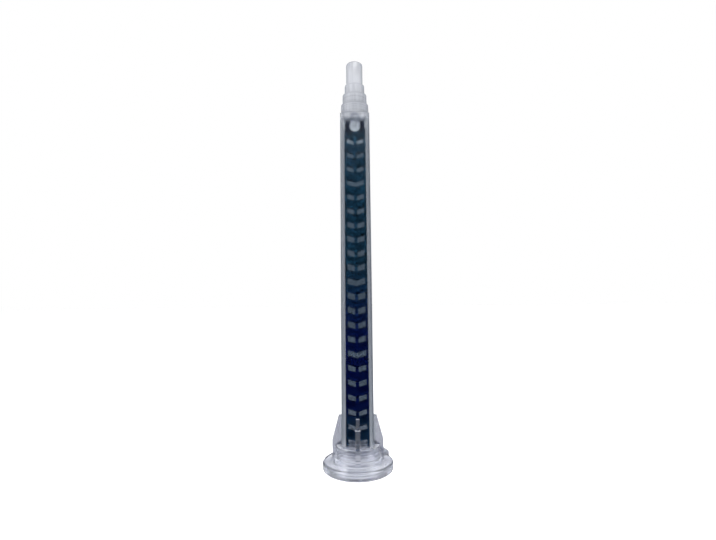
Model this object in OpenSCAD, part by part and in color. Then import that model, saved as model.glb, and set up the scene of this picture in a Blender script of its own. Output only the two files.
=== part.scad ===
// Static mixing nozzle for two-part adhesives: a clear square tube with a bell inlet and a
// stepped tip, and a dark mixing element that fills the tube's square channel.
// The flow axis is +Z and the flange's flat underside is at Z = 0. Sizes are in millimetres.

/* [Bell inlet] */
// Diameter of the flange that a retaining nut clamps
flange_d = 24.4; // [23.4:0.1:30]
// Thickness of the flange
flange_t = 3; // [2.4:0.1:4]
// Rounding of the flange's rim
rim_round = 0.8; // [0.6:0.1:1.1]
// Outside diameter of the neck between the flange and the square tube
neck_d = 15.3; // [15:0.1:16.2]
// Height of the neck's shoulder above the flange's underside
neck_h = 8.3; // [8:0.1:9.4]
// Rounding of the shoulder's edge
neck_round = 0.4; // [0.2:0.1:0.8]
// Number of rings that step out at the neck's foot
ring_count = 4; // [2:1:5]
// Height of each ring
ring_h = 0.9; // [0.6:0.05:0.95]
// How far each ring stands out from what is above it
ring_w = 0.25; // [0.1:0.05:0.25]
// Diameter of the inlet socket
socket_d = 12.2; // [11.6:0.1:12.6]
// Depth of the inlet socket
socket_depth = 7; // [5.8:0.1:7.2]
// Width and height of the lead-in at the socket's mouth
lead_in = 1.8; // [0.5:0.1:2]

/* [Fins] */
// Thickness of the four fins
fin_t = 1.2; // [0.9:0.1:1.5]
// Height of the fins' tops above the flange's underside
fin_top_h = 18.3; // [16:0.1:22]
// How far a fin's top stands out from the tube's side
fin_lip = 1.1; // [0.6:0.1:1.6]
// Distance of the fins' outer edges from the axis
fin_reach = 8.8; // [8.7:0.1:9.6]
// Height at which the fins' slanted edges turn upright
fin_knee_h = 10.1; // [9:0.1:12]
// Thickness of the stepped foot of the front and back fins
foot_t = 1.7; // [1.6:0.1:2.6]
// Height of the ledge on the front and back fins
ledge_h = 14.7; // [13.2:0.1:15.6]
// Width of that ledge, outwards
ledge_w = 0.9; // [0.4:0.1:1.1]

/* [Coding lug] */
// Height of the lug above the flange
lug_h = 2; // [1.4:0.1:3]
// Width of the lug, outwards from the axis
lug_w = 2.2; // [1.2:0.1:2.6]
// Distance of the lug's outer side from the flange's edge
lug_edge = 0.4; // [0.3:0.1:0.5]
// Angle at which the lug starts
lug_start = 21; // [10:1:50]
// Angle that the lug spans
lug_span = 24; // [10:1:30]

/* [Square tube] */
// Outside width of the tube where it meets the neck
tube_w_low = 11; // [10.8:0.1:11.6]
// Outside width of the tube at its top
tube_w_high = 10.25; // [10.2:0.05:10.7]
// Rounding of the tube's four corners
tube_corner = 1; // [0.5:0.1:1.4]
// Width of the square channel at its mouth
channel_w_low = 8.1; // [7.8:0.05:8.3]
// Width of the square channel at its end
channel_w_high = 7.45; // [7.2:0.05:7.7]
// Thickness of plastic above the channel's end
roof_t = 1.9; // [1.6:0.1:4]
// How far the tube's corners are turned off at its top
shoulder_cut = 0.5; // [0.3:0.1:1.2]
// How far that cut starts outside the tube's flat sides
shoulder_land = 0.1; // [0.05:0.05:0.4]

/* [Stepped tip] */
// Diameter of the collar, the lowest step
collar_d = 10; // [9.4:0.1:10.1]
// Height of the collar
collar_h = 3.8; // [1.5:0.1:6]
// Diameter of the second step
step_d = 8.8; // [8:0.1:9.2]
// Height of the second step
step_h = 3.7; // [2:0.1:6]
// Diameter of the third step, the nose
nose_d = 7.2; // [6.4:0.1:7.8]
// Height of the nose
nose_h = 3.6; // [2:0.1:6]
// Diameter of the spout
spout_d = 5.9; // [5:0.1:6.2]
// Height of the spout
spout_h = 8.4; // [4:0.1:12]
// Rounding of the spout's end
spout_round = 0.8; // [0.2:0.1:1]
// Draft of the three steps below the spout, per side
step_draft = 0.08; // [0.02:0.02:0.2]
// Diameter of the outlet bore
outlet_d = 2.4; // [1.6:0.1:3]
// Width of the round-topped throat slot between the channel and the outlet
throat_w = 3.6; // [3.2:0.1:3.8]
// Length of that slot, from front to back
throat_l = 6.4; // [4.5:0.1:6.8]
// Height of the slot above the channel's end
throat_h = 2; // [1.95:0.05:3]

/* [Mixing element] */
// Number of mixing units
unit_count = 22; // [6:1:30]
// Length of one mixing unit along the flow
unit_pitch = 5.06; // [4:0.02:6]
// Distance from the channel's mouth to the element's lower end
element_inset = 0.2; // [0.1:0.1:2]
// Length of the two prongs above the last unit
prong_h = 3.88; // [2.6:0.02:6]
// Distance between the two prongs, which is also the width of the round notch at their foot
prong_gap = 3.8; // [3:0.1:4.4]
// How far the prongs' outer sides lean inwards
prong_lean = 0.45; // [0.1:0.05:0.8]
// Clearance between the element and the channel's walls
element_gap = 0.06; // [0.02:0.01:0.15]
// Clearance between the prongs and the channel's end
end_gap = 0.1; // [0.02:0.02:0.4]
// Thickness of the side rails
rail_t = 0.7; // [0.4:0.05:1]
// Thickness of the web that splits the flow to left and right
web_t = 1.05; // [0.6:0.05:1.4]
// Thickness of the two guide walls of each unit
guide_t = 0.5; // [0.4:0.05:0.8]
// Distance between the two guide walls
guide_gap = 1.1; // [0.9:0.1:2.6]
// Thickness of the slanted deflectors
deflector_t = 0.75; // [0.5:0.05:1]
// Angle at which the outer deflectors rise towards the channel's front and back walls
deflector_lean = 20; // [8:1:24]
// Height of the windows at the web
window_h_mid = 2; // [1.4:0.05:2.2]
// Height of the windows at the rails
window_h_side = 2.25; // [1.4:0.05:2.4]
// How much higher the windows lie at the rails than at the web
window_rise = 1.1; // [0.6:0.05:1.3]

/* [Hidden] */
$fn = 64;

// Facets round each of the tube's corners
corner_fn = 32;
// Overlap of shapes that are joined or cut through each other
lap = 0.4;

// Units without a web, and the ones of those where the left and right sides swap over
open_units = [6, 11, 18];
swap_units = [6, 18];

element_low = socket_depth + element_inset;
prong_low = element_low + unit_count * unit_pitch;
element_high = prong_low + prong_h;
channel_high = element_high + end_gap;
tube_high = channel_high + roof_t;
step_low = tube_high + collar_h;
nose_low = step_low + step_h;
spout_low = nose_low + nose_h;
overall_h = spout_low + spout_h;

// Width of the tube, of the channel and of the element at a height
function between(low, high, z_low, z_high, z) = low + (high - low) * (z - z_low) / (z_high - z_low);
function tube_w(z) = between(tube_w_low, tube_w_high, neck_h, tube_high, z);
function channel_w(z) = between(channel_w_low, channel_w_high, socket_depth, channel_high, z);
function element_w(z) = channel_w(z) - 2 * element_gap;

function unit_low(unit) = element_low + unit * unit_pitch;

// Side on which a unit's outer slots are closed: it alternates, and repeats itself at each swap
function swaps_before(unit) = len([for (swap = swap_units) if (swap <= unit) swap]);
function closed_side(unit) = (unit + swaps_before(unit)) % 2 == 0 ? -1 : 1;

module at_angles(angles) {
    for (angle = angles)
        rotate(angle)
            children();
}

// Plate that stands upright along the axis, from its outline of distance and height
module upright_plate(thickness) {
    rotate([90, 0, 0])
        linear_extrude(thickness, center = true)
            children();
}

// Square prism with four flat sides that lean inwards
module tapered_square(w_low, w_high, z_low, z_high) {
    intersection_for (angle = [0, 90])
        rotate(angle)
            upright_plate(2 * w_low)
                polygon([
                    [-w_low / 2, z_low],
                    [w_low / 2, z_low],
                    [w_high / 2, z_high],
                    [-w_high / 2, z_high]
                ]);
}

// Half section of a stub with a rounded edge at its top
module round_top_section(r, h, rounding) {
    square([r - rounding, h]);
    square([r, h - rounding]);
    translate([r - rounding, h - rounding])
        intersection() {
            circle(r = rounding);
            square(rounding);
        }
}

// Half section of a disc with a rounded rim above and below
module round_rim_section(r, h, rounding) {
    translate([0, h / 2]) {
        round_top_section(r, h / 2, rounding);
        mirror([0, 1])
            round_top_section(r, h / 2, rounding);
    }
}

// Half section of one tip step, with its draft, let into what is below it
module step_section(d, z, h) {
    polygon([
        [0, z - lap],
        [d / 2, z - lap],
        [d / 2, z],
        [d / 2 - step_draft, z + h],
        [0, z + h]
    ]);
}

module bell() {
    rotate_extrude() {
        round_rim_section(flange_d / 2, flange_t, rim_round);
        round_top_section(neck_d / 2, neck_h, neck_round);
        for (ring = [1 : ring_count])
            square([neck_d / 2 + ring * ring_w, flange_t + (ring_count + 1 - ring) * ring_h]);
    }
}

module tube() {
    cut_r = tube_w_high / 2 + shoulder_land;
    corner_r = (tube_w_high / 2 - tube_corner) * sqrt(2) + tube_corner;
    far_r = 2 * corner_r;
    cut_slope = shoulder_cut / (corner_r - cut_r);
    intersection() {
        hull()
            for (z = [neck_h - lap, tube_high], x = [-1, 1], y = [-1, 1]) {
                side = tube_w(z) / 2 - tube_corner;
                translate([x * side, y * side, z - (z == tube_high ? lap : 0)])
                    cylinder(r = tube_corner, h = lap, $fn = corner_fn);
            }
        rotate_extrude()
            polygon([
                [0, 0],
                [far_r, 0],
                [far_r, tube_high - cut_slope * (far_r - cut_r)],
                [cut_r, tube_high],
                [0, tube_high]
            ]);
    }
}

// Outline of a side fin: a small flat top, a slanted edge and an upright foot
module side_fin_outline() {
    polygon([
        [0, flange_t - lap],
        [fin_reach, flange_t - lap],
        [fin_reach, fin_knee_h],
        [tube_w(fin_top_h) / 2 + fin_lip, fin_top_h],
        [0, fin_top_h]
    ]);
}

// Distance of the slanted edge from the axis at a height
function slant_r(z) = between(fin_reach, tube_w(fin_top_h) / 2 + fin_lip, fin_knee_h, fin_top_h, z);

module fins() {
    at_angles([0, 180])
        upright_plate(fin_t)
            side_fin_outline();
    at_angles([90, 270]) {
        upright_plate(fin_t)
            polygon([
                [0, flange_t - lap],
                [slant_r(ledge_h) - ledge_w, flange_t - lap],
                [slant_r(ledge_h) - ledge_w, ledge_h],
                [tube_w(fin_top_h) / 2 + fin_lip, fin_top_h],
                [0, fin_top_h]
            ]);
        upright_plate(foot_t)
            intersection() {
                side_fin_outline();
                square([fin_reach, ledge_h]);
            }
    }
}

module coding_lug() {
    rotate(lug_start)
        rotate_extrude(angle = lug_span)
            translate([flange_d / 2 - lug_edge - lug_w, flange_t - lap]) {
                square([lug_w, lug_h + lap - lug_w / 2]);
                translate([lug_w / 2, lug_h + lap - lug_w / 2])
                    circle(d = lug_w);
            }
}

module tip() {
    rotate_extrude() {
        step_section(collar_d, tube_high, collar_h);
        step_section(step_d, step_low, step_h);
        step_section(nose_d, nose_low, nose_h);
        translate([0, spout_low - lap])
            round_top_section(spout_d / 2, spout_h + lap, spout_round);
    }
}

// Everything that the two components flow through
module flow_path() {
    translate([0, 0, -lap])
        cylinder(d = socket_d, h = socket_depth + lap);
    translate([0, 0, -lap])
        cylinder(r1 = socket_d / 2 + lead_in + lap, r2 = socket_d / 2, h = lead_in + lap);
    mouth = socket_depth - lap;
    tapered_square(channel_w(mouth), channel_w_high, mouth, channel_high);
    upright_plate(throat_l)
        translate([0, channel_high + throat_h - throat_w / 2]) {
            circle(d = throat_w);
            translate([-throat_w / 2, -throat_h])
                square([throat_w, throat_h]);
        }
    translate([0, 0, channel_high])
        cylinder(d = outlet_d, h = overall_h);
}

module housing() {
    color("whitesmoke", 0.5)
        difference() {
            union() {
                bell();
                tube();
                fins();
                coding_lug();
                tip();
            }
            flow_path();
        }
}

// Outlines of the mixing units as seen from the front: distance from the axis and height
module web_outlines() {
    for (unit = [0 : unit_count - 1])
        if (len(search(unit, open_units)) == 0)
            translate([-web_t / 2, unit_low(unit) - (unit == 0 ? 0 : lap)])
                square([web_t, window_h_mid + deflector_t / 2 + (unit == 0 ? 0 : lap)]);
}

// Guide walls in the form of a wide V, cut off where the last one runs into the prongs
module guide_outlines() {
    side = channel_w_low / 2;
    intersection() {
        union()
            for (unit = [0 : unit_count - 1])
                translate([0, unit_low(unit)])
                    polygon([
                        [0, window_h_mid],
                        [side, window_rise + window_h_side],
                        [side, window_rise + unit_pitch],
                        [0, unit_pitch],
                        [-side, window_rise + unit_pitch],
                        [-side, window_rise + window_h_side]
                    ]);
        translate([-side, element_low])
            square([2 * side, prong_low - lap / 2 - element_low]);
    }
}

// A deflector from the web to the rail on one side, drawn from the web's top
module deflector_outline(side) {
    reach = side * channel_w_low / 2;
    rise = window_rise + window_h_side - window_h_mid;
    middle = -side * web_t / 2;
    polygon([
        [middle, 0],
        [0, 0],
        [reach, rise],
        [reach, rise + deflector_t],
        [0, deflector_t],
        [middle, deflector_t]
    ]);
}

module rail_outline() {
    low = element_w(element_low) / 2;
    high = element_w(prong_low) / 2;
    polygon([
        [low - rail_t, element_low],
        [low, element_low],
        [high, prong_low],
        [high - rail_t, prong_low]
    ]);
}

// The two prongs above the last unit, with a round notch between them
module prong_outline() {
    low = element_w(prong_low) / 2;
    high = low - prong_lean;
    foot = between(low, high, prong_low, element_high, prong_low - lap);
    notch_r = prong_gap / 2;
    difference() {
        polygon([
            [-foot, prong_low - lap],
            [foot, prong_low - lap],
            [high, element_high],
            [-high, element_high]
        ]);
        translate([0, prong_low + notch_r]) {
            circle(r = notch_r);
            translate([-notch_r, 0])
                square([prong_gap, prong_h]);
        }
    }
}

// Per unit, two outer deflectors close one side's slots and an inner one closes the other side's
module deflectors() {
    slot_in = (guide_gap + guide_t) / 2;
    reach = 0.7 * channel_w_low;
    units = [0 : unit_count - 1];
    for (unit = units)
        translate([0, 0, unit_low(unit) + window_h_mid])
            upright_plate(2 * slot_in)
                deflector_outline(-closed_side(unit));
    for (turn = [0, 180])
        rotate(turn)
            intersection() {
                union()
                    for (unit = units)
                        translate([0, slot_in, unit_low(unit) + window_h_mid])
                            rotate([deflector_lean, 0, 0])
                                translate([0, reach / 2 - lap, 0])
                                    upright_plate(reach)
                                        deflector_outline(turn == 0 ? closed_side(unit) : -closed_side(unit));
                translate([-channel_w_low, slot_in, 0])
                    cube([2 * channel_w_low, channel_w_low, overall_h]);
            }
}

module mixing_element() {
    guide_out = guide_gap / 2 + guide_t;
    color("midnightblue")
        intersection() {
            union() {
                upright_plate(channel_w_low)
                    web_outlines();
                upright_plate(2 * guide_out) {
                    prong_outline();
                    rail_outline();
                    mirror([1, 0])
                        rail_outline();
                }
                for (side = [-1, 1])
                    translate([0, side * (guide_out - guide_t / 2), 0])
                        upright_plate(guide_t)
                            guide_outlines();
                deflectors();
            }
            tapered_square(element_w(element_low), element_w(element_high), element_low, element_high);
        }
}

housing();
mixing_element();
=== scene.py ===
"""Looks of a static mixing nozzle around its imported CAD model.

Lengths are in metres, and in millimetres where a name ends in MM. The materials work in millimetres.
"""

import math

import bpy
from mathutils import Euler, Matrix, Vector


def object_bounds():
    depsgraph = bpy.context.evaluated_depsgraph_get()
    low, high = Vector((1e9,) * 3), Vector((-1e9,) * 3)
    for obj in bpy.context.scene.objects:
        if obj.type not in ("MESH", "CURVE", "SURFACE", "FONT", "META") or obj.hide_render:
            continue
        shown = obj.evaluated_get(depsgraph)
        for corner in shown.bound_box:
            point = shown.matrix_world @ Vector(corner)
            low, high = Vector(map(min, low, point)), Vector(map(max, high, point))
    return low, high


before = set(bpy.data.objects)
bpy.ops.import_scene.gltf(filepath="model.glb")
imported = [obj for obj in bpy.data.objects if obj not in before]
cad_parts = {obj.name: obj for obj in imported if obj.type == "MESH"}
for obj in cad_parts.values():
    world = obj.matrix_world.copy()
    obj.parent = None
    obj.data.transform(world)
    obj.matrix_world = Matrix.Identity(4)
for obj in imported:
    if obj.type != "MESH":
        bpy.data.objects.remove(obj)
cad_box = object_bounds()

# Housing: flange, neck, four fins, square tube and stepped tip, injection moulded in one shot of natural
# polypropylene. It is clear in the thin wall over the channel, and milky in the tube's thick corners,
# in the bell and in the tip.
FLANGE_HIGH_MM = 3.0
NECK_HIGH_MM = 8.3
LUG_IN_MM = 9.4
FIN_HALF_MM = 0.85
TUBE_HALF_MM = 5.6
TUBE_HIGH_MM = 124.4
CHANNEL_LOW_MM = 7.0
CHANNEL_HIGH_MM = 122.5
CHANNEL_HALF_LOW_MM = 4.05
CHANNEL_HALF_HIGH_MM = 3.72
STEP_TOPS_MM = [128.2, 131.9, 135.5]
SPOUT_HIGH_MM = 143.9
OUTLET_R_MM = 1.2

WHITE = (1, 1, 1, 1)
# One dark tint serves real marks (scratches, flow marks, level lines) and painted shade (step lines,
# slanted rims)
DARK_MARK_AND_SHADE_TINT = (0.12, 0.13, 0.16, 1)
CORNER_LOW_TINT = (0.23, 0.25, 0.29, 1)
CORNER_HIGH_TINT = (0.31, 0.33, 0.37, 1)
FIN_TINT = (0.235, 0.245, 0.29, 1)
FLANGE_TINT = (0.78, 0.79, 0.84, 1)
NECK_TINT = (0.71, 0.72, 0.77, 1)
RING_MARK_AND_SHADE_TINT = (0.16, 0.17, 0.22, 1)
# Painted shade: the thin wall's dark grey tints dim what is seen through it
WALL_FOOT_SHADE_TINT = (0.25, 0.28, 0.32, 1)
WALL_LOW_SHADE_TINT = (0.190, 0.218, 0.260, 1)
WALL_HIGH_SHADE_TINT = (0.278, 0.343, 0.400, 1)
WALL_TOP_TINT = (0.70, 0.745, 0.79, 1)
ROOF_TINT = (0.74, 0.77, 0.81, 1)
COLLAR_TINT = (0.38, 0.40, 0.43, 1)
SPOUT_TINT = (0.87, 0.88, 0.89, 1)
MILK_TUBE = (0.22, 0.24, 0.27, 1)
MILK_BELL = (0.66, 0.68, 0.74, 1)
MILK_TIP = (0.54, 0.555, 0.60, 1)

# Heights between which the thin wall takes its foot's painted shade tint, its top's tint and a faint veil
WALL_FOOT_MM = (28, 14)
WALL_TOP_MM = (112, 120)
VEIL_MM = (95, 115)
# Heights on the tip between which its tint fades to the spout's and its fine level lines end
TIP_FADE_MM = (TUBE_HIGH_MM, TUBE_HIGH_MM + 16)
LEVELS_END_MM = (134, 130)

# Share of milky plastic in each region, and what is added to it in the last four; what is added on the
# fins' level tops and on the neck's shoulder is a painted highlight
TUBE_MILK = 0.30
BELL_MILK = 0.15
FIN_MILK = 0.07
ROOF_MILK = 0.15
NOZZLE_MILK = 0.40
FIN_TOP_HIGHLIGHT_MILK = 0.6
LUG_MILK = 0.2
SHOULDER_HIGHLIGHT_MILK = 0.4
VEIL_MILK = 0.03

TUBE_ROUGHNESS = 0.38
BELL_ROUGHNESS = 0.06
TIP_ROUGHNESS = 0.18
WALL_LOW_ROUGHNESS = 0.16
WALL_HIGH_ROUGHNESS = 0.46
HAZE_ROUGHNESS = 0.06
RELIEF_DEPTH = 0.0001


class Signal:
    """A socket in a material. Arithmetic on it adds Math nodes, and add() makes any other node."""

    def __init__(self, tree, socket=None):
        self.tree = tree
        self.socket = socket

    def add(self, kind, settings, inputs, output=0):
        """Adds a node: its settings first, then a value or a link for each socket that is named."""
        node = self.tree.nodes.new(kind)
        for name, value in settings.items():
            setattr(node, name, value)
        for name, value in inputs.items():
            target = node.inputs[name]
            if isinstance(value, Signal):
                self.tree.links.new(value.socket, target)
            else:
                target.default_value = value
        return Signal(self.tree, node.outputs[output])

    def math(self, operation, *values):
        return self.add("ShaderNodeMath", {"operation": operation}, dict(enumerate(values)))

    def __add__(self, other):
        return self.math("ADD", self, other)

    def __radd__(self, other):
        return self.math("ADD", other, self)

    def __sub__(self, other):
        return self.math("SUBTRACT", self, other)

    def __rsub__(self, other):
        return self.math("SUBTRACT", other, self)

    def __mul__(self, other):
        return self.math("MULTIPLY", self, other)

    def __rmul__(self, other):
        return self.math("MULTIPLY", other, self)

    def __truediv__(self, other):
        return self.math("DIVIDE", self, other)

    def __abs__(self):
        return self.math("ABSOLUTE", self)

    def least(self, other):
        return self.math("MINIMUM", self, other)

    def most(self, other):
        return self.math("MAXIMUM", self, other)

    def rise(self, start, end):
        """A smooth step from 0 at start to 1 at end. It falls where start is above end."""
        return self.add(
            "ShaderNodeMapRange",
            {"interpolation_type": "SMOOTHSTEP"},
            {"Value": self, "From Min": start, "From Max": end},
        )

    def blend(self, first, second):
        """A colour that goes from first to second as this signal goes from 0 to 1."""
        return self.add(
            "ShaderNodeMix",
            {"data_type": "RGBA", "clamp_factor": True},
            {0: self, 6: first, 7: second},
            2,
        )

    def stretched(self, x, y, z):
        """This place with its three directions scaled."""
        return self.add("ShaderNodeVectorMath", {"operation": "MULTIPLY"}, {0: self, 1: (x, y, z)})

    def noise(self, scale, detail):
        """Cloudy noise from 0 to 1 at this place."""
        return self.add(
            "ShaderNodeTexNoise",
            {},
            {"Vector": self, "Scale": scale, "Detail": detail},
            "Fac",
        )


def new_material(name):
    """A material with its place on the object in millimetres, as one vector and as x, y and z."""
    material = bpy.data.materials.new(name)
    material.use_nodes = True
    material.node_tree.nodes.clear()
    start = Signal(material.node_tree)
    metres = start.add("ShaderNodeTexCoord", {}, {}, "Object")
    place = metres.stretched(1000, 1000, 1000)
    axes = [place.add("ShaderNodeSeparateXYZ", {}, {"Vector": place}, axis) for axis in "XYZ"]
    return material, place, axes


def put_on(mesh, material, surface):
    """Ends a material's nodes at its output and puts it on a mesh as its only material."""
    output = surface.tree.nodes.new("ShaderNodeOutputMaterial")
    surface.tree.links.new(surface.socket, output.inputs["Surface"])
    mesh.materials.clear()
    mesh.materials.append(material)


polypropylene, place, (x, y, z) = new_material("natural_polypropylene")
outward = abs(x).most(abs(y))
sideways = abs(x).least(abs(y))
radius = place.math("SQRT", x * x + y * y)
facing = place.add("ShaderNodeNewGeometry", {}, {}, "Normal")
facing_up = place.add("ShaderNodeSeparateXYZ", {}, {"Vector": facing}, "Z")
level = facing_up.rise(0.8, 0.9)
along = (z - CHANNEL_LOW_MM) / (CHANNEL_HIGH_MM - CHANNEL_LOW_MM)
channel_half = CHANNEL_HALF_LOW_MM - along * (CHANNEL_HALF_LOW_MM - CHANNEL_HALF_HIGH_MM)

# Regions of the moulding, each 1 inside and 0 outside, with a soft edge
bell = 1 - z.rise(NECK_HIGH_MM + 0.1, NECK_HIGH_MM + 1.5)
fin = outward.rise(TUBE_HALF_MM, TUBE_HALF_MM + 0.5)
fin = fin * sideways.rise(FIN_HALF_MM + 0.3, FIN_HALF_MM + 0.1)
fin = fin * z.rise(FLANGE_HIGH_MM + 0.1, FLANGE_HIGH_MM + 0.6)
fin = fin * (abs(x) - abs(y)).rise(0, 0.5).most(z.rise(NECK_HIGH_MM - 1, NECK_HIGH_MM + 1))
# Painted highlight: the fins' level tops and the neck's shoulder get extra milk, so that they light up
fin_top_highlight = fin * level
shoulder_highlight = bell * level * z.rise(NECK_HIGH_MM - 0.2, NECK_HIGH_MM - 0.05)
lug = radius.rise(LUG_IN_MM - 0.2, LUG_IN_MM) * z.rise(FLANGE_HIGH_MM + 0.05, FLANGE_HIGH_MM + 0.2)
tip = z.rise(CHANNEL_HIGH_MM - 1, CHANNEL_HIGH_MM + 0.3)
above_tube = z.rise(TUBE_HIGH_MM - 0.2, TUBE_HIGH_MM + 0.4)
nozzle = above_tube * z.rise(SPOUT_HIGH_MM - 0.5, SPOUT_HIGH_MM - 1)
bore = tip * radius.rise(OUTLET_R_MM + 0.4, OUTLET_R_MM + 0.1)
thin = (sideways - channel_half).rise(0.25, -0.25) * (1 - fin) * (1 - bell) * (1 - tip)

# Marks of the moulding, and how much a face is seen at a slant, which darkens clear plastic at its rim as
# painted shade
mottle = place.noise(0.35, 3)
flow = place.stretched(1, 1, 0.08).noise(1.2, 2)
haze = place.noise(2.2, 4)
scratches = place.stretched(1, 1, 0.02).noise(2.6, 2)
rings = place.add("ShaderNodeCombineXYZ", {}, {"X": radius, "Z": z}).noise(2.0, 2)
levels = place.stretched(0, 0, 1).noise(1.3, 1)
uneven = (mottle - 0.5) * 0.3 + (flow - 0.5) * 0.2
# The rings are the lathe marks of the mould. Their dark lines, strongest towards the front, back and
# sides, are partly painted shade of the dark neck seen through the bell.
ring_marks_and_shade = (0.6 - rings).rise(0, 0.25) * (0.2 + 0.8 * sideways.rise(5, 2.5)) * bell * (1 - fin)
slant = place.add("ShaderNodeLayerWeight", {}, {"Blend": 0.5}, "Facing")

# Thick plastic: the tube's corners, the fins and the bell
tint = along.blend(CORNER_LOW_TINT, CORNER_HIGH_TINT)
bell_tint = z.rise(FLANGE_HIGH_MM - 0.4, FLANGE_HIGH_MM + 0.4).blend(FLANGE_TINT, NECK_TINT)
tint = bell.blend(tint, bell_tint)
tint = fin.blend(tint, FIN_TINT)
tint = uneven.blend(tint, WHITE)
tint = ring_marks_and_shade.blend(tint, RING_MARK_AND_SHADE_TINT)
# Painted shade: the bell is darkened at its rim, where its face is seen at a slant
tint = (0.3 * bell * slant.rise(0.6, 1)).blend(tint, DARK_MARK_AND_SHADE_TINT)
roughness = TUBE_ROUGHNESS + HAZE_ROUGHNESS * haze
roughness = roughness + (BELL_ROUGHNESS - TUBE_ROUGHNESS) * bell.most(fin)
roughness = roughness + (TIP_ROUGHNESS - TUBE_ROUGHNESS) * tip
relief = (mottle + 0.4 * flow + 0.12 * haze) * (1 - 0.85 * tip) + 2.5 * rings * (bell + 0.3 * tip)
bump = place.add("ShaderNodeBump", {}, {"Strength": 0.25, "Distance": RELIEF_DEPTH, "Height": relief})
thick = place.add(
    "ShaderNodeBsdfPrincipled",
    {},
    {"Base Color": tint, "Roughness": roughness, "IOR": 1.38, "Transmission Weight": 1.0, "Normal": bump},
)

# Thin plastic: the wall over the channel and the tip, with a dark line of painted shade at the top of
# each of its steps
tip_marks_and_shade = 1.2 * (0.55 - flow) + 0.3 * (0.52 - levels).rise(0, 0.12) * z.rise(*LEVELS_END_MM)
# Darker towards the spout's top
tip_marks_and_shade = tip_marks_and_shade + 0.35 * z.rise(SPOUT_HIGH_MM - 4.5, SPOUT_HIGH_MM - 0.3)
# Painted shade: a dark line under the top edge of each step, fainter on the higher steps
for step_top in [TUBE_HIGH_MM, *STEP_TOPS_MM]:
    line = abs(z - (step_top - 0.25)).rise(0.4, 0.15)
    tip_marks_and_shade = tip_marks_and_shade.most(line * (0.6 - 0.03 * (step_top - TUBE_HIGH_MM)))
tip_tint = z.rise(*TIP_FADE_MM).blend(COLLAR_TINT, SPOUT_TINT)
tip_tint = above_tube.blend(ROOF_TINT, tip_tint)
tip_tint = tip_marks_and_shade.blend(tip_tint, DARK_MARK_AND_SHADE_TINT)
# Painted shade: the tip is darkened at its rim, where its face is seen at a slant
tip_tint = (0.85 * slant.rise(0.12, 0.8)).blend(tip_tint, DARK_MARK_AND_SHADE_TINT)
# Painted shade: the clear wall is tinted dark grey, darker low down than high up and lighter again at its
# foot, so the channel's windows look into shade. The scratches are real marks.
wall_tint_and_shade = along.blend(WALL_LOW_SHADE_TINT, WALL_HIGH_SHADE_TINT)
wall_tint_and_shade = z.rise(*WALL_FOOT_MM).blend(wall_tint_and_shade, WALL_FOOT_SHADE_TINT)
wall_tint_and_shade = (0.9 * (scratches - 0.4)).blend(wall_tint_and_shade, DARK_MARK_AND_SHADE_TINT)
wall_tint_and_shade = z.rise(*WALL_TOP_MM).blend(wall_tint_and_shade, WALL_TOP_TINT)
wall_roughness = WALL_LOW_ROUGHNESS + (WALL_HIGH_ROUGHNESS - WALL_LOW_ROUGHNESS) * along
shell = place.add(
    "ShaderNodeBsdfPrincipled",
    {},
    {
        "Base Color": bore.blend(tip.blend(wall_tint_and_shade, tip_tint), WHITE),
        "Roughness": wall_roughness + HAZE_ROUGHNESS * haze,
        "IOR": 1.06,
        "Transmission Weight": 1.0,
        "Coat Weight": tip * (1 - bore),
        "Coat Roughness": 0.2,
        "Coat IOR": 1.5,
    },
)
clear = place.add("ShaderNodeMixShader", {}, {0: thin.most(tip), 1: thick, 2: shell})

# Milk: the cloudy plastic that is mixed into the clear one, most of all in the tip; the extra milk on
# level tops is a painted highlight
milk_tint = bell.most(fin).most(tip).blend(MILK_TUBE, MILK_BELL)
milk_tint = nozzle.blend(milk_tint, (0.6 * tip_marks_and_shade).blend(MILK_TIP, DARK_MARK_AND_SHADE_TINT))
milk_tint = (0.6 * ring_marks_and_shade).blend(milk_tint, RING_MARK_AND_SHADE_TINT)
milky = place.add(
    "ShaderNodeBsdfPrincipled",
    {},
    {
        "Base Color": milk_tint,
        "Roughness": roughness,
        "IOR": 1.49,
        "Subsurface Weight": 1.0,
        "Subsurface Radius": (1.0, 1.0, 1.1),
        "Subsurface Scale": 0.002,
        "Normal": bump,
    },
)
milk = TUBE_MILK * (1 - thin) + (BELL_MILK - TUBE_MILK) * bell * (1 - fin) + (FIN_MILK - TUBE_MILK) * fin
milk = milk + (ROOF_MILK - TUBE_MILK) * tip + (NOZZLE_MILK - ROOF_MILK) * nozzle - NOZZLE_MILK * bore
milk = milk + FIN_TOP_HIGHLIGHT_MILK * fin_top_highlight + LUG_MILK * lug + SHOULDER_HIGHLIGHT_MILK * shoulder_highlight
milk = milk + VEIL_MILK * thin * z.rise(*VEIL_MM)
surface = place.add("ShaderNodeMixShader", {}, {0: milk, 1: clear, 2: milky})
put_on(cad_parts["housing"].data, polypropylene, surface)

# Mixing element: 22 mixing units on two side rails, moulded in one piece of dark navy plastic.
# It is pushed up the square channel from the inlet until its two prongs reach the channel's end.
NAVY = (0.011, 0.046, 0.42, 1)
TEAL = (0.084, 0.28, 0.39, 1)
INK = (0.006, 0.012, 0.03, 1)
# Heights between which the navy turns to teal, upwards, where the lighter teal is a painted sheen of
# light from above, and at the foot, and the prongs turn to ink
TEAL_SHEEN_MM = (42, 74)
TEAL_FOOT_MM = (22, 15)
INK_MM = (113, 119)

navy, place, (x, y, z) = new_material("navy_plastic")
streak = place.stretched(1, 1, 0.15).noise(0.9, 3)
grain = place.noise(3.0, 3)
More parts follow.
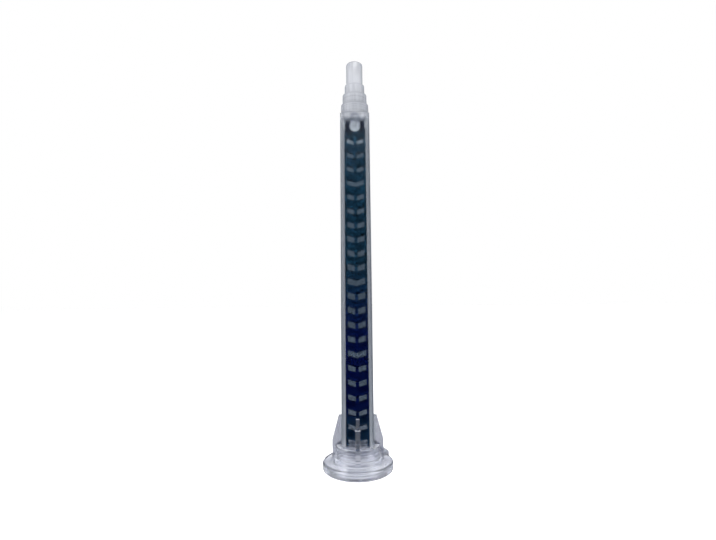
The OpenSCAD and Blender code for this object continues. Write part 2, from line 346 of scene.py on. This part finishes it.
# Painted sheen: the navy turns to a lighter teal towards the top; it turns teal at the foot too
teal_and_sheen = z.rise(*TEAL_SHEEN_MM) + 0.7 * z.rise(*TEAL_FOOT_MM) + (streak - 0.5) * 0.4
element_bump = place.add(
    "ShaderNodeBump",
    {},
    {"Strength": 0.2, "Distance": RELIEF_DEPTH, "Height": grain + streak},
)
surface = place.add(
    "ShaderNodeBsdfPrincipled",
    {},
    {
        "Base Color": z.rise(*INK_MM).blend(teal_and_sheen.blend(NAVY, TEAL), INK),
        "Roughness": 0.26 + 0.16 * grain,
        "Specular IOR Level": 0.12,
        "Normal": element_bump,
    },
)
put_on(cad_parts["mixing_element"].data, navy, surface)

# Floor: a plain white table that runs out of sight on all sides. Under the nozzle it glows, a painted
# pool of light that lights the bell from below.
# In the plastic's gloss it is a dim grey, as where a bright table stands in a dark studio.
FLOOR_HALF = 3.0
FLOOR_GAP = 0.0001
BLACK = (0, 0, 0, 1)
INSIDE = (0.62, 0.65, 0.70, 1)
MIRROR_NEAR = (0.25, 0.27, 0.33, 1)
MIRROR_LEVEL = (0.14, 0.15, 0.18, 1)
# Distances from the nozzle's axis between which the mirrored table darkens and the glow ends
MIRROR_MM = (50, 900)
GLOW_MM = (12, 25)
GLOW_STRENGTH = 0.7


def lit(start, mirror):
    """White as seen directly, a grey by way of the plastic's inner faces, mirror by way of its gloss."""
    glossy = start.add("ShaderNodeLightPath", {}, {}, "Glossy Depth").rise(0, 1)
    inner = start.add("ShaderNodeLightPath", {}, {}, "Transmission Depth").rise(0, 1)
    return glossy.blend(WHITE, inner.blend(mirror, INSIDE))


floor_mesh = bpy.data.meshes.new("floor")
corners = [(-1, -1), (1, -1), (1, 1), (-1, 1)]
floor_mesh.from_pydata([(FLOOR_HALF * a, FLOOR_HALF * b, 0) for a, b in corners], [], [(0, 1, 2, 3)])
floor = bpy.data.objects.new("floor", floor_mesh)
bpy.context.scene.collection.objects.link(floor)
floor.location.z = cad_box[0].z - FLOOR_GAP
white, place, (x, y, z) = new_material("white_table")
away = abs(x).most(abs(y))
mirror = away.rise(*MIRROR_MM).blend(MIRROR_NEAR, MIRROR_LEVEL)
surface = place.add(
    "ShaderNodeBsdfPrincipled",
    {},
    {
        "Base Color": lit(place, mirror),
        "Roughness": 0.8,
        "Specular IOR Level": 0.0,
        "Emission Color": away.rise(*GLOW_MM).blend(WHITE, BLACK),
        "Emission Strength": GLOW_STRENGTH,
    },
)
put_on(floor_mesh, white, surface)

# Light: an even white room with one large soft lamp above and one from the left.
# In the plastic's gloss the room is dim at eye level and lighter above.
MIRROR_HIGH = (0.35, 0.38, 0.44, 1)

world = bpy.data.worlds.new("white_room")
world.use_nodes = True
world.node_tree.nodes.clear()
room = Signal(world.node_tree)
direction = room.add("ShaderNodeTexCoord", {}, {}, "Generated")
upward = room.add("ShaderNodeSeparateXYZ", {}, {"Vector": direction}, "Z")
mirror = upward.rise(0, 0.4).blend(MIRROR_LEVEL, MIRROR_HIGH)
sky = room.add("ShaderNodeBackground", {}, {"Color": lit(room, mirror)})
output = world.node_tree.nodes.new("ShaderNodeOutputWorld")
world.node_tree.links.new(sky.socket, output.inputs["Surface"])
bpy.context.scene.world = world


def soft_lamp(name, place, aim, width, watts):
    """A square soft lamp that faces a point."""
    light = bpy.data.lights.new(name, "AREA")
    light.size = width
    light.energy = watts
    lamp = bpy.data.objects.new(name, light)
    lamp.location = place
    lamp.rotation_euler = (Vector(aim) - Vector(place)).to_track_quat("-Z", "Y").to_euler()
    bpy.context.scene.collection.objects.link(lamp)


middle = (cad_box[0] + cad_box[1]) / 2
soft_lamp("top_lamp", place=(0.1, -0.15, 0.6), aim=middle, width=0.3, watts=2.0)
soft_lamp("left_lamp", place=(-0.5, -0.25, 0.25), aim=middle, width=0.2, watts=1.5)

# Camera: close to the nozzle, below half its height and tilted up a little, so that the bell is seen from
# above and the tip from below. The nozzle leans a little to the left in view.
IMAGE_W = 716
SENSOR_MM = 36.0
FOCUS_PX = 437.2
DISTANCE = 0.155
EYE_HEIGHT = 0.0589
TILT_DEG = 3.59
LEAN_DEG = 0.58
AXIS_PX = 356.5

camera_data = bpy.data.cameras.new("camera")
camera_data.sensor_width = SENSOR_MM
camera_data.lens = SENSOR_MM * FOCUS_PX / IMAGE_W
camera_data.clip_start = 0.01
camera = bpy.data.objects.new("camera", camera_data)
across = (IMAGE_W / 2 - AXIS_PX) * DISTANCE / FOCUS_PX
camera.location = (across, -DISTANCE, EYE_HEIGHT)
camera.rotation_euler = Euler((math.radians(90 + TILT_DEG), math.radians(LEAN_DEG), 0), "XYZ")
bpy.context.scene.collection.objects.link(camera)
bpy.context.scene.camera = camera
bpy.context.scene.view_settings.view_transform = "Standard"
